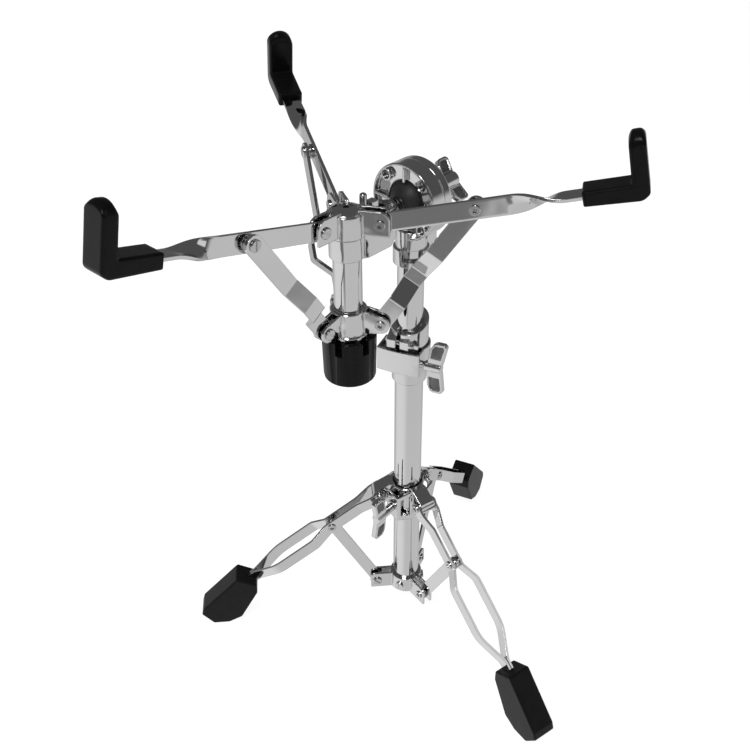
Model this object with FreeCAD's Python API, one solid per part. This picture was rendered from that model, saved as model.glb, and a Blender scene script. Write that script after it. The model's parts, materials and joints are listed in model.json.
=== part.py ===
import FreeCAD, Part
import math
import os

os.makedirs("parts", exist_ok=True)
V = FreeCAD.Vector
O, X, Y, Z = V(0, 0, 0), V(1, 0, 0), V(0, 1, 0), V(0, 0, 1)

# Frame: millimetres, floor at z = 0, main tube on the Z axis, basket offset towards -Y.

# Clearances
RUN = 0.06                # radial, turning and sliding fits
SEAT = 0.02               # radial, pieces fixed to each other
SIDE = 0.30               # between faces of pieces that move past each other
OVER = 1.0                # by which a cutting tool goes beyond the piece
LONG = 80.0               # tools that go right through

# Pivot pins, rivets and screws
PIN_R, HEAD_R, HEAD_T, TAIL_R, TAIL_T = 2.6, 5.2, 1.9, 4.6, 1.4
HOLLOW_R, HOLLOW_DEEP = 2.2, 2.0                 # hollow riveted end
SLOT_W, SLOT_DEEP, SLOT_TURN = 1.3, 0.8, 50.0
SCREW_R, SPACER_R, EDGE = 2.6, 5.0, 0.8          # EDGE breaks sharp rims

# Wing screws: lobe and sunk panel, each as (offset from the barrel's end, share of half the span)
WING_OUTLINE = ((-14.0, 0.0), (-14.0, 0.22), (-12.5, 0.72), (-9.0, 0.96), (-6.0, 1.0), (1.5, 1.0),
                (4.2, 0.9), (1.2, 0.22), (-0.6, 0.0))
WING_PANEL = ((-11.6, 0.38), (-10.4, 0.74), (-7.4, 0.89), (0.2, 0.89), (1.5, 0.82), (-0.8, 0.38))
WING_T, WING_SUNK, WING_ROUND = 6.4, 0.9, 1.8
WING_SHANK_R, CLAMP_SHANK_R = 4.0, 3.4
WING_BARREL_R, TILT_BARREL_R = 5.2, 7.4

# Tubes
UPPER_R, UPPER_WALL, TUBE_GAP, LOWER_WALL = 12.7, 1.4, 0.4, 1.2
LOWER_R = UPPER_R + TUBE_GAP + LOWER_WALL
POST_R, POST_WALL = 12.65, 1.5
LOWER_Z0, LOWER_Z1 = 36.0, 351.0
UPPER_Z0, UPPER_Z1 = 205.0, 474.0

# Tripod: three equal legs, each a pair of bars on a sliding collar, with a brace to the bottom hub
LEG_AZIMUTHS = (227.7, 347.7, 107.7)
LEG_R, LEG_SLOPE, LEG_END_Z = 30.1, 38.7, 44.95  # collar pivot, slope below level, height of the far end
LEG_HEAD, LEG_TAPER, LEG_NECK, LEG_SWELL = 10.0, 18.0, 45.0, 19.0
LEG_BOW, LEG_CLOSE, LEG_TOE = 54.0, 32.0, 26.0
LEG_LENGTH = LEG_HEAD + LEG_TAPER + LEG_NECK + LEG_SWELL + LEG_BOW + LEG_CLOSE + LEG_TOE
LEG_Z = LEG_END_Z + LEG_LENGTH * math.sin(math.radians(LEG_SLOPE))
LEG_END_R = LEG_R + LEG_LENGTH * math.cos(math.radians(LEG_SLOPE))
LEG_BRACE_BACK = 5.8                              # from the end of the neck
LEG_BRACE_AT = LEG_HEAD + LEG_TAPER + LEG_NECK - LEG_BRACE_BACK
BAR_W, BAR_T, BAR_GAP = 12.5, 2.5, 8.5           # BAR_GAP is between the bars at the brace
BAR_BOW, BAR_FOOT_GAP = 27.0, 0.7                # widest gap, gap inside the foot
BAR_BENDS = (8, 8, 5, 12, 40, 16)                # radii of the six bends
FOOT_W, FOOT_ROUND, FOOT_EDGE = 26.0, 2.5, 1.6
# (outwards from the end of the leg, height above the floor)
FOOT_OUTLINE = ((-19.3, 43), (-19.3, 55), (1.7, 66), (43.2, 22), (45.7, 14), (34.2, 0), (13.7, 0),
                (0.7, 6.5))

# Sliding collar: heights are from the leg pivot
COLLAR_WALL, COLLAR_HALF, COLLAR_CORNER, COLLAR_KINK = 2.2, 8.4, 27.0, 20.7
COLLAR_DROP, COLLAR_RISE, COLLAR_CREST, COLLAR_TOP = 22.5, 7.5, 15.5, 14.3
COLLAR_EAR_R, COLLAR_SLEEVE, COLLAR_BUSH, COLLAR_FLOOR = 8.0, 3.0, 1.5, 3.0
COLLAR_POST = 3.3                                # beside the windows in its sides
COLLAR_Z0 = LEG_Z - COLLAR_DROP
COLLAR_SCREW_AZ, COLLAR_SCREW_Z, COLLAR_BOSS_R, COLLAR_BOSS = 273.0, LEG_Z - 6.0, 6.5, 12.5
COLLAR_NECK, COLLAR_BARREL, COLLAR_SPAN = 7.0, 26.0, 50.0

# Bottom hub of the tripod
HUB_R, HUB_Z0, HUB_Z1, HUB_SHELF = LOWER_R + 3.3, 33.0, 53.0, 2.5
BRACE_R, BRACE_Z, BRACE_W, BRACE_T, BRACE_EAR_ROUND = HUB_R + 15.4, 42.4, 13.0, 2.5, 4.3
FIX_R, FIX_HEAD_R, FIX_HEAD_T = 2.5, 4.6, 2.2

# Height clamp: a sleeve under a wide block whose hollow top is a cup for the memory lock
CLAMP_AZ, CLAMP_R = 289.0, LOWER_R + 2.9
CLAMP_DOWN, CLAMP_UP, CLAMP_CHAMFER = 31.0, 12.0, 2.0
CLAMP_Z0, CLAMP_Z1 = LOWER_Z1 - CLAMP_DOWN, LOWER_Z1 + CLAMP_UP
BLOCK_H, BLOCK_D, BLOCK_HALF, BLOCK_BOW = 24.5, 24.0, 22.0, 1.8
BLOCK_SHIFT, BLOCK_BACK = -3.2, -2.0
CUP_DEEP, CUP_WALL, CUP_GAP = 7.0, 1.6, 0.6
CLAMP_SCREW_D, CLAMP_SCREW_Z, CLAMP_WING_LEAN = LOWER_R + 3.7, LOWER_Z1 + 1.0, -10.0
CLAMP_NECK, CLAMP_BARREL, CLAMP_SPAN = 4.0, 21.0, 51.0

# Memory lock: a split ring with two lugs
LOCK_R, LOCK_Z0 = UPPER_R + 5.6, CLAMP_Z1 - CUP_DEEP + SIDE
LOCK_FRONT_Z, LOCK_BACK_Z = CLAMP_Z1 + 17.0, CLAMP_Z1 + 31.0
LUG_W, LUG_GAP, LUG_SHIFT, LUG_Z1, LUG_RAMP = 9.0, 4.2, -4.4, CLAMP_Z1 + 10.5, 8.0
KEY_D, KEY_Z = 16.5, CLAMP_Z1 + 6.0
KEY_HEAD_R, KEY_HEAD_T, KEY_SQUARE, KEY_LONG = 3.6, 1.6, 4.2, 6.0
KEY_BOSS_R, KEY_BOSS = 4.2, 3.0

# Glide at the bottom of the upper tube
GLIDE_H, GLIDE_PLUG = 8.9, 12.0

# Tilter: two half housings round a ball, on the top of the upper tube
TILT_UP, TILT_R = 37.4, 35.3
TILT_Z = UPPER_Z1 + TILT_UP
TILT_FRONT, TILT_PART, TILT_REAR, TILT_BOSS_END = -12.7, 3.0, 13.8, 28.0
BALL_R, SEAT_T, SEAT_HALF, BALL_MOUTH_R = 19.5, 1.8, 7.5, 18.6
RIM_T, DISH, RIB_T = 2.0, 4.5, 2.4
TILT_SCREW_R, TILT_LUG_R, TILT_HOLE_R, TILT_HOLE = 29.0, 5.6, 4.0, 6.0
CAP_ROUND, CAP_BOSS_R, CAP_CONE_R, CAP_SOCKET_R = 3.0, 11.0, TILT_R - 7.0, 1.9
SLEEVE_WALL, SLEEVE_DOWN, SLEEVE_LONG = 4.1, 61.9, 17.0
SLEEVE_R, SLEEVE_Z0 = UPPER_R + SLEEVE_WALL, TILT_Z - SLEEVE_DOWN
SLEEVE_Z1 = SLEEVE_Z0 + SLEEVE_LONG
NECK_R, NECK_UP, REAR_LUG, REAR_LUG_UP = UPPER_R + 1.9, 10.0, 9.0, 6.0
WINDOW_AZ, WINDOW_W, WINDOW_UP = 314.0, 19.0, 6.5
SET_AZ, SET_Z, SET_R = 292.0, SLEEVE_Z0 + 3.2, 2.0
TILT_WING_ANGLE, TILT_NECK, TILT_BARREL, TILT_SPAN = 131.7, 3.0, 30.0, 43.0

# Basket: post, two hubs, three arms with pads and three links; heights follow the ball
POST_Y = -83.0
ARM_AZIMUTHS = (270.0, 30.0, 150.0)
BHUB_R = POST_R + 3.85
PIVOT_R = BHUB_R + 13.0
ARM_Z, ARM_RISE, ARM_W, ARM_T = TILT_Z + 9.6, 14.0, 16.4, 3.0
ARM_LINK_AT, ARM_TO_TWIST, ARM_TWIST, ARM_FLAT, TWIST_STEPS = 78.3, 25.7, 46.0, 56.0, 8
TWIST_FROM = ARM_LINK_AT + ARM_TO_TWIST
TWIST_TO = TWIST_FROM + ARM_TWIST
ARM_LENGTH = TWIST_TO + ARM_FLAT
HUBS_APART = 95.5
LOWER_PIVOT_Z = ARM_Z - HUBS_APART
LINK_OFFSET, LINK_JOG = ARM_T + 4.0, 16.5        # sideways from the arm's middle plane
LINK_STATIONS = (0.185, 0.30, 0.40, 0.57)        # bends, as shares of the link's length
LINK_BENDS, LINK_WASHER_R, LINK_WASHER = (4, 4, 5, 6), 6.4, 1.8
EAR_IN, EAR_T = ARM_T / 2 + 2.1, 2.4
EAR_OUT = EAR_IN + EAR_T
EAR_REACH, EAR_LOW, EAR_HIGH, EAR_ROUND = PIVOT_R + 8.2, 10.0, 11.5, 9.0
PAD_W, PAD_LONG, PAD_BEYOND = 22.8, 49.9, 6.4
PAD_TOP, PAD_WALL, PAD_LEDGE, PAD_BASE, PAD_EDGE, PAD_TROUGH = 48.8, 12.9, 6.2, -6.4, 1.6, 3.0
PAD_TOE, PAD_SAG, PAD_HEEL, PAD_FLARE, PAD_SHOULDER = 6.0, 1.6, 3.0, 0.6, 4.0
PAD_CROWN_OUT, PAD_CROWN_IN, PAD_LEAN, PAD_LEAN_H = 3.0, 4.5, 1.2, 8.0
PAD_OUT = ARM_LENGTH + PAD_BEYOND
PAD_IN = PAD_OUT - PAD_LONG

# Bracket from the ball to the post
POST_COLLAR_WALL, POST_COLLAR_DOWN, POST_COLLAR_LONG = 2.9, 33.5, 20.5
POST_COLLAR_R, POST_COLLAR_Z0 = POST_R + POST_COLLAR_WALL, ARM_Z - POST_COLLAR_DOWN
POST_COLLAR_Z1 = POST_COLLAR_Z0 + POST_COLLAR_LONG
BRACKET_HALF, BRACKET_NOSE, BRACKET_UNDER, BRACKET_EDGE = 10.5, -31.0, TILT_Z - 28.4, 1.5
BRACKET_STEP_Z, BRACKET_TOP_Z, BRACKET_SADDLE_Z = TILT_Z + 7.6, TILT_Z + 16.6, TILT_Z + 8.6
BRACKET_CUT, POCKET_IN, POCKET_RIM = 6.0, 8.0, 4.0
CREST_Y, CREST_HALF = (-55.6, -47.6), 4.0        # narrow crest on the bracket
STEM_R, STEM_ROOT_R, STEM_IN = 7.6, 9.4, 13.0    # STEM_IN is the depth of the hole in the ball
PEG_R, PEG_Y, PEG_H, PEG_DEEP, PEG_ROUND = 3.2, -62.5, 17.5, 7.5, 2.4
NOTCH_Y, NOTCH_HALF, NOTCH_DEEP = -40.0, 3.2, 8.0
POST_ABOVE, BOLT_R, BOLT_HEAD_R, BOLT_HEAD_T, HEX_R = 9.0, 3.0, 6.0, 4.2, 3.0
HUB_ABOVE, DOME_R, DOME_DROP = 8.0, 28.0, 23.0

# Adjusting knob under the lower hub
KNOB_R, KNOB_FOOT_R, KNOB_H = 24.7, 23.8, 44.6
KNOB_Z1 = LOWER_PIVOT_Z - 13.9
KNOB_Z0 = KNOB_Z1 - KNOB_H
POST_Z0 = KNOB_Z0 + 13.0
KNOB_FLUTES, FLUTE_R, FLUTE_DEEP, FLUTE_AZ = 8, 9.0, 1.5, 7.6
KNOB_NOTCHES, NOTCH_W, NOTCH_H, NOTCH_CUT, NOTCH_AZ = 6, 7.2, 12.0, 8.0, 51.0
KNOB_RIM, KNOB_SUNK, KNOB_BOSS, KNOB_ROUND = 5.5, 7.0, 3.5, 3.0
LOWER_HUB_H, HUB_LIP, HUB_LIP_H = 26.1, 1.6, 3.6


def save(node, shape):
    shape.exportStep("parts/%s.step" % node)


def cyl(r, base, axis, length):
    return Part.makeCylinder(r, length, base, axis)


def ring(ro, ri, base, axis, length):
    return cyl(ro, base, axis, length).cut(cyl(ri, base - axis * OVER, axis, length + 2 * OVER))


def block(x0, x1, y0, y1, z0, z1):
    return Part.makeBox(x1 - x0, y1 - y0, z1 - z0, V(x0, y0, z0))


def plate(points, start, depth):
    wire = Part.makePolygon(points + points[:1])
    return Part.Face(wire).extrude(depth).translated(start)


def plate_xz(pts, y0, y1):
    return plate([V(x, 0, z) for x, z in pts], V(0, y0, 0), V(0, y1 - y0, 0))


def plate_yz(pts, x0, x1):
    return plate([V(0, y, z) for y, z in pts], V(x0, 0, 0), V(x1 - x0, 0, 0))


def turned(shape, axis, degrees, at=O):
    out = shape.copy()
    out.rotate(at, axis, degrees)
    return out


def moved(shape, x=0.0, y=0.0, z=0.0):
    return shape.translated(V(x, y, z))


def about_tube(shape, azimuth):
    return turned(shape, Z, azimuth)


def about_post(shape, azimuth):
    return moved(turned(shape, Z, azimuth), y=POST_Y)


def fuse(shapes):
    out = shapes[0]
    for shape in shapes[1:]:
        out = out.fuse(shape)
    return out.removeSplitter()


def cut(shape, tools):
    for tool in tools:
        shape = shape.cut(tool)
    return shape


def rounded(shape, radius, wanted):
    edges = [e for e in shape.Edges if wanted(e)]
    return shape.makeFillet(radius, edges) if edges else shape


def chamfered(shape, size, wanted):
    edges = [e for e in shape.Edges if wanted(e)]
    return shape.makeChamfer(size, edges) if edges else shape


def along(edge, axis):
    a, b = edge.Vertexes[0].Point, edge.Vertexes[-1].Point
    d = b - a
    return d.Length > 1e-6 and abs(d.dot(axis)) > 0.999 * d.Length


def at_z(edge, z):
    return edge.BoundBox.ZLength < 1e-6 and abs(edge.BoundBox.ZMin - z) < 1e-4


def at_y(edge, y):
    return edge.BoundBox.YLength < 1e-6 and abs(edge.BoundBox.YMin - y) < 1e-4


def stadium(x0, x1, width, half_depth):
    r = width / 2
    body = block(x0, x1, -half_depth, half_depth, -r, r)
    ends = [cyl(r, V(x, -half_depth, 0), Y, 2 * half_depth) for x in (x0, x1)]
    return fuse([body] + ends)


def tangent_point(x0, z0, cx, cz, r):
    # Where the line from (x0, z0) touches the far upper side of the circle
    angle = math.atan2(cz - z0, cx - x0) + math.asin(r / math.hypot(cx - x0, cz - z0))
    return cx - r * math.sin(angle), cz + r * math.cos(angle)


def bent_strap(path, radii, thickness, width):
    # A strap of constant thickness in plan along the path, with true arcs at its bends
    pts = [V(x, y, 0) for x, y in path]
    runs = [(b - a).normalize() for a, b in zip(pts, pts[1:])]

    def side(offset):
        left = [V(-d.y, d.x, 0) for d in runs]
        edges, last = [], pts[0] + left[0] * offset
        for i, radius in enumerate(radii):
            p, d0, d1 = pts[i + 1], runs[i], runs[i + 1]
            turn = math.atan2(d0.x * d1.y - d0.y * d1.x, d0.dot(d1))
            tangent = radius * math.tan(abs(turn) / 2)
            a = p - d0 * tangent + left[i] * offset
            b = p + d1 * tangent + left[i + 1] * offset
            centre = p - d0 * tangent + left[i] * (radius * math.copysign(1, turn))
            middle = centre + (p - centre).normalize() * (radius - offset * math.copysign(1, turn))
            edges += [Part.makeLine(last, a), Part.Arc(a, middle, b).toShape()]
            last = b
        end = pts[-1] + left[-1] * offset
        return edges + [Part.makeLine(last, end)], pts[0] + left[0] * offset, end

    one, start_one, end_one = side(thickness / 2)
    two, start_two, end_two = side(-thickness / 2)
    edges = one + two + [Part.makeLine(start_one, start_two), Part.makeLine(end_one, end_two)]
    face = Part.Face(Part.Wire(Part.__sortEdges__(edges)))
    return face.extrude(V(0, 0, width)).translated(V(0, 0, -width / 2))


def slotted_head(y_head):
    head = chamfered(cyl(HEAD_R, V(0, y_head, 0), Y, HEAD_T), EDGE, lambda e: at_y(e, y_head + HEAD_T))
    y_top = y_head + HEAD_T
    slot = block(-SLOT_W / 2, SLOT_W / 2, y_top - SLOT_DEEP, y_top + OVER, -HEAD_R, HEAD_R)
    return head.cut(turned(slot, Y, SLOT_TURN))


def hollow_end(y_tail):
    end = cyl(TAIL_R, V(0, y_tail - TAIL_T, 0), Y, TAIL_T)
    return chamfered(end, EDGE / 2, lambda e: at_y(e, y_tail - TAIL_T))


def pivot_screw(y_tail, y_head):
    # Lies along Y: slotted pan head beyond y_head, hollow riveted end beyond y_tail
    shank = cyl(PIN_R, V(0, y_tail, 0), Y, y_head - y_tail)
    bore = cyl(HOLLOW_R, V(0, y_tail - TAIL_T - OVER, 0), Y, HOLLOW_DEEP + OVER)
    return fuse([slotted_head(y_head), shank, hollow_end(y_tail)]).cut(bore)


def half_rivet(y_inner, y_outer):
    # A hollow rivet that ends flush with the inner face of its own bar, head outside
    rivet = fuse([cyl(PIN_R, V(0, y_inner, 0), Y, y_outer - y_inner), turned(hollow_end(-y_outer), Z, 180)])
    return rivet.cut(cyl(HOLLOW_R, V(0, y_outer, 0), Y, HOLLOW_DEEP))


def wing_screw(shank_r, shank_to, neck, barrel_r, end, span):
    # Along +X from the face at x = 0: shank inwards, then neck, barrel and two lobes with sunk panels
    half = span / 2

    def outer_rim(edge):
        return edge.BoundBox.YLength < 1e-6 and abs(edge.BoundBox.Center.z) > half / 2

    shank = cyl(shank_r, V(-shank_to, 0, 0), X, shank_to + neck + OVER)
    barrel = cyl(barrel_r, V(neck, 0, 0), X, end - neck)
    barrel = chamfered(barrel, EDGE, lambda e: e.BoundBox.XLength < 1e-6)
    lobes = []
    for s in (1, -1):
        lobe = plate_xz([(end + x, s * half * z) for x, z in WING_OUTLINE], -WING_T / 2, WING_T / 2)
        lobe = rounded(lobe, WING_ROUND, lambda e: along(e, Y) and abs(e.BoundBox.Center.z) > half / 2)
        lobe = chamfered(lobe, EDGE, outer_rim)
        sunk = plate_xz([(end + x, s * half * z) for x, z in WING_PANEL], WING_T / 2 - WING_SUNK, WING_T)
        lobes.append(cut(lobe, [sunk, moved(sunk, y=WING_SUNK - WING_T * 1.5)]))
    return fuse([shank, barrel] + lobes)


# Legs, braces, feet
def leg_frame(shape):
    return moved(turned(shape, Y, LEG_SLOPE), x=LEG_R, z=LEG_Z)


head_mid = COLLAR_HALF + SIDE + BAR_T / 2
bar_mid = (BAR_GAP + BAR_T) / 2
bow_mid = (BAR_BOW + BAR_T) / 2
foot_mid = (BAR_FOOT_GAP + BAR_T) / 2
bar_path, run = [(-BAR_W / 2, head_mid)], 0.0
for length, offset in ((LEG_HEAD, head_mid), (LEG_TAPER, bar_mid), (LEG_NECK, bar_mid), (LEG_SWELL, bow_mid),
                       (LEG_BOW, bow_mid), (LEG_CLOSE, foot_mid), (LEG_TOE, foot_mid)):
    run += length
    bar_path.append((run, offset))
bar = bent_strap(bar_path, BAR_BENDS, BAR_T, BAR_W)
bar = bar.common(stadium(0, LEG_LENGTH + BAR_W, BAR_W, LONG))
pin_hole = cyl(PIN_R + SEAT, V(0, -LONG / 2, 0), Y, LONG)
bar = cut(bar, [pin_hole, moved(pin_hole, x=LEG_BRACE_AT)])
bars = (leg_frame(bar), leg_frame(bar.mirror(O, Y)))

bar_out = head_mid + BAR_T / 2
leg_pin = pivot_screw(-bar_out, bar_out)
rivet = half_rivet(BAR_GAP / 2, BAR_GAP / 2 + BAR_T)
brace_rivets = [moved(r, x=LEG_BRACE_AT) for r in (rivet, rivet.mirror(O, Y))]
leg_rivets = leg_frame(Part.makeCompound([leg_pin] + brace_rivets))

foot = plate_xz([(LEG_END_R + x, z) for x, z in FOOT_OUTLINE], -FOOT_W / 2, FOOT_W / 2)
foot = rounded(foot, FOOT_ROUND, lambda e: along(e, Y) and e.BoundBox.ZMin > 1)
foot = rounded(foot, FOOT_EDGE, lambda e: e.BoundBox.YLength < 1e-6 and e.BoundBox.ZLength > LEG_END_Z / 2)
foot = cut(foot, list(bars))

slope = math.radians(LEG_SLOPE)
brace_dr = LEG_R + LEG_BRACE_AT * math.cos(slope) - BRACE_R
brace_dz = LEG_Z - LEG_BRACE_AT * math.sin(slope) - BRACE_Z
brace_len = math.hypot(brace_dr, brace_dz)
bush_half = BAR_GAP / 2 - SIDE
brace = fuse([stadium(0, brace_len, BRACE_W, BRACE_T / 2),
              cyl(SPACER_R, V(brace_len, -bush_half, 0), Y, 2 * bush_half)])
brace = brace.cut(cyl(PIN_R + RUN, V(0, -LONG / 2, 0), Y, LONG))
brace = moved(turned(brace, Y, -math.degrees(math.atan2(brace_dz, brace_dr))), x=BRACE_R, z=BRACE_Z)

for n, azimuth in enumerate(LEG_AZIMUTHS, 1):
    save("leg_%d_bar_a" % n, about_tube(bars[0], azimuth))
    save("leg_%d_bar_b" % n, about_tube(bars[1], azimuth))
    save("leg_%d_rivets" % n, about_tube(leg_rivets, azimuth))
    save("foot_%d" % n, about_tube(foot, azimuth))
    save("brace_%d" % n, about_tube(brace, azimuth))

# Sliding collar: sleeve, a V of folded plate between each two legs and a covered channel for each leg
crest_z, edge_z, sleeve_z = LEG_Z + COLLAR_CREST, LEG_Z + COLLAR_RISE, LEG_Z + COLLAR_TOP
outline = []
for azimuth in LEG_AZIMUTHS:
    corners = ((COLLAR_KINK, -COLLAR_HALF, 0), (COLLAR_KINK, COLLAR_HALF, 0), (COLLAR_CORNER, 0, 60))
    for x, y, turn in corners:
        outline.append(turned(Part.Vertex(x, y, 0), Z, azimuth + turn).Point)
outer = Part.makePolygon(outline + outline[:1])
inner = outer.makeOffset2D(-COLLAR_WALL, 2)
tall = V(0, 0, crest_z - COLLAR_Z0)
shell = Part.Face(outer).extrude(tall).cut(Part.Face(inner).extrude(tall)).translated(V(0, 0, COLLAR_Z0))
floor_plate = Part.Face(outer).extrude(V(0, 0, COLLAR_FLOOR)).translated(V(0, 0, COLLAR_Z0))
rise_to = COLLAR_KINK * math.sin(math.radians(60)) - COLLAR_HALF / 2
above = plate_yz(((-rise_to, edge_z), (0, edge_z), (rise_to, crest_z), (rise_to, crest_z + LONG),
                  (-rise_to, crest_z + LONG)), 0, COLLAR_CORNER + OVER)
window_z0, window_y = COLLAR_Z0 + 2 * COLLAR_FLOOR, rise_to - COLLAR_WALL
side_window = plate_yz(((COLLAR_POST, window_z0), (window_y, window_z0),
                        (window_y, crest_z - 2 * COLLAR_FLOOR), (COLLAR_POST, edge_z - COLLAR_FLOOR)),
                       LOWER_R + COLLAR_SLEEVE + SIDE, COLLAR_CORNER + OVER)
for azimuth in LEG_AZIMUTHS:
    shell = cut(shell, [about_tube(above, azimuth + 60), about_tube(side_window, azimuth + 60)])


def channel(r, half, inside):
    # Side view of the leg's channel: foot at the sleeve, a sloping crest and a round end about the pivot
    drop = COLLAR_CREST - (COLLAR_EAR_R - r)
    tx, tz = tangent_point(COLLAR_KINK, LEG_Z + drop, LEG_R, LEG_Z, r)
    low = (LEG_R, LEG_Z - r - inside)
    pts = [(LOWER_R, COLLAR_Z0 - inside), (COLLAR_KINK, COLLAR_Z0 - inside), (COLLAR_KINK, low[1]), low,
           (LEG_R, LEG_Z), (tx, tz), (COLLAR_KINK, LEG_Z + drop), (LOWER_R, LEG_Z + drop)]
    return fuse([plate_xz(pts, -half, half), cyl(r, V(LEG_R, -half, LEG_Z), Y, 2 * half)])


ear = channel(COLLAR_EAR_R, COLLAR_HALF, 0.0)
room = channel(COLLAR_EAR_R - COLLAR_WALL, COLLAR_HALF - COLLAR_WALL, LONG)
boss = moved(cyl(COLLAR_BOSS_R, V(LOWER_R, 0, 0), X, COLLAR_BOSS), z=COLLAR_SCREW_Z)
sleeve = cyl(LOWER_R + COLLAR_SLEEVE, V(0, 0, COLLAR_Z0), Z, sleeve_z - COLLAR_Z0)
sleeve = chamfered(sleeve, EDGE, lambda e: at_z(e, sleeve_z))
collar = fuse([shell, floor_plate] + [about_tube(ear, a) for a in LEG_AZIMUTHS])
collar = cut(collar, [about_tube(room, a) for a in LEG_AZIMUTHS])
collar = fuse([collar, sleeve, turned(boss, Z, COLLAR_SCREW_AZ)])
bush_r = LOWER_R + COLLAR_BUSH
screw_bore = moved(cyl(WING_SHANK_R + RUN, V(LOWER_R - OVER, 0, 0), X, LONG), z=COLLAR_SCREW_Z)
screw_bore = turned(screw_bore, Z, COLLAR_SCREW_AZ)
leg_bore = moved(cyl(PIN_R + RUN, V(0, -LONG / 2, 0), Y, LONG), x=LEG_R, z=LEG_Z)
leg_bore = leg_bore.common(block(0, LONG, -LONG, LONG, 0, sleeve_z))
collar = cut(collar, [cyl(bush_r + SEAT, V(0, 0, COLLAR_Z0 - OVER), Z, LONG), screw_bore])
collar = cut(collar, [about_tube(leg_bore, a) for a in LEG_AZIMUTHS])
save("leg_collar", collar)
bush = ring(bush_r, LOWER_R + RUN, V(0, 0, COLLAR_Z0), Z, sleeve_z - EDGE - COLLAR_Z0)
save("collar_bush", bush.cut(screw_bore))
collar_screw = wing_screw(WING_SHANK_R, COLLAR_BOSS - SIDE, COLLAR_NECK, WING_BARREL_R, COLLAR_BARREL,
                          COLLAR_SPAN)
collar_screw = moved(collar_screw, x=LOWER_R + COLLAR_BOSS + SIDE, z=COLLAR_SCREW_Z)
save("collar_wing_screw", turned(collar_screw, Z, COLLAR_SCREW_AZ))

# Bottom hub, fixed to the lower tube
hub = chamfered(cyl(HUB_R, V(0, 0, HUB_Z0), Z, HUB_Z1 - HUB_Z0), EDGE, lambda e: e.BoundBox.ZLength < 1e-6)
brace_ear = block(LOWER_R / 2, BRACE_R + BRACE_W / 2 + OVER, EAR_IN, EAR_OUT, HUB_Z0, HUB_Z1)
brace_ear = rounded(brace_ear, BRACE_EAR_ROUND,
                    lambda e: along(e, Y) and e.BoundBox.XMin > BRACE_R and e.BoundBox.ZMin > BRACE_Z)
for azimuth in LEG_AZIMUTHS:
    hub = fuse([hub, about_tube(brace_ear, azimuth), about_tube(brace_ear.mirror(O, Y), azimuth)])
hub = cut(hub, [cyl(LOWER_R + SEAT, V(0, 0, HUB_Z0 + HUB_SHELF), Z, LONG),
                cyl(LOWER_R - 2 * LOWER_WALL, V(0, 0, HUB_Z0 - OVER), Z, LONG)])
ear_bore = moved(cyl(PIN_R + SEAT, V(0, -EAR_OUT - OVER, 0), Y, 2 * (EAR_OUT + OVER)), x=BRACE_R, z=BRACE_Z)
fix_bore = cyl(FIX_R + SEAT, V(LOWER_R, 0, BRACE_Z), X, HUB_R)
for azimuth in LEG_AZIMUTHS:
    hub = cut(hub, [about_tube(ear_bore, azimuth), about_tube(fix_bore, azimuth + 60)])
save("leg_lower_hub", hub)
brace_pin = moved(pivot_screw(-EAR_OUT, EAR_OUT), x=BRACE_R, z=BRACE_Z)
save("lower_hub_pins", Part.makeCompound([about_tube(brace_pin, a) for a in LEG_AZIMUTHS]))
fix_screw = fuse([cyl(FIX_R, V(LOWER_R + SIDE, 0, BRACE_Z), X, HUB_R - LOWER_R),
                  cyl(FIX_HEAD_R, V(HUB_R, 0, BRACE_Z), X, FIX_HEAD_T)])
fix_slot = block(HUB_R + FIX_HEAD_T - SLOT_DEEP, HUB_R + LONG, -SLOT_W / 2, SLOT_W / 2,
                 BRACE_Z - LONG, BRACE_Z + LONG)
fix_screw = fix_screw.cut(fix_slot)
save("lower_hub_screws", Part.makeCompound([about_tube(fix_screw, a + 60) for a in LEG_AZIMUTHS]))
save("lower_tube", ring(LOWER_R, LOWER_R - LOWER_WALL, V(0, 0, LOWER_Z0), Z, LOWER_Z1 - LOWER_Z0))


# Height clamp: sleeve, bowed block and the cup in its top
def block_plan(inset, r):
    # Plan of the block: bowed front, straight sides, round back about the tube
    front, half = BLOCK_D - inset, BLOCK_HALF - inset
    y0, y1 = BLOCK_SHIFT - half, BLOCK_SHIFT + half
    corners = [V(front - BLOCK_BOW, y0, 0), V(front - BLOCK_BOW, y1, 0), V(BLOCK_BACK, y1, 0),
               V(BLOCK_BACK, y0, 0)]
    bow = Part.Arc(corners[0], V(front, BLOCK_SHIFT, 0), corners[1]).toShape()
    sides = [Part.makeLine(a, b) for a, b in zip(corners[1:], corners[2:] + corners[:1])]
    plan = Part.Face(Part.Wire([bow] + sides)).extrude(V(0, 0, BLOCK_H))
    return plan.fuse(cyl(r, O, Z, BLOCK_H)).removeSplitter()


cup_r = LOCK_R + CUP_GAP
body = moved(block_plan(0.0, cup_r + CUP_WALL), z=CLAMP_Z1 - BLOCK_H)
body = rounded(body, BRACKET_EDGE, lambda e: along(e, Z) and e.BoundBox.XMin > BLOCK_D / 2)
clamp = cyl(CLAMP_R, V(0, 0, CLAMP_Z0), Z, CLAMP_Z1 - CLAMP_Z0)
clamp = chamfered(clamp, CLAMP_CHAMFER, lambda e: at_z(e, CLAMP_Z0))
cup = moved(block_plan(CUP_WALL, cup_r), z=CLAMP_Z1 - CUP_DEEP)
clamp_bore = cyl(CLAMP_SHANK_R + RUN, V(CLAMP_SCREW_D, -LONG / 2, CLAMP_SCREW_Z), Y, LONG)
clamp = cut(fuse([clamp, body]), [cup, clamp_bore, cyl(LOWER_R + SEAT, V(0, 0, CLAMP_Z0 - OVER), Z, LONG)])
save("height_clamp", about_tube(clamp, CLAMP_AZ))
clamp_bush = ring(LOWER_R, UPPER_R + RUN, V(0, 0, LOWER_Z1), Z, CLAMP_Z1 - CUP_DEEP - LOWER_Z1)
save("clamp_bush", about_tube(clamp_bush.cut(clamp_bore), CLAMP_AZ))
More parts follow.
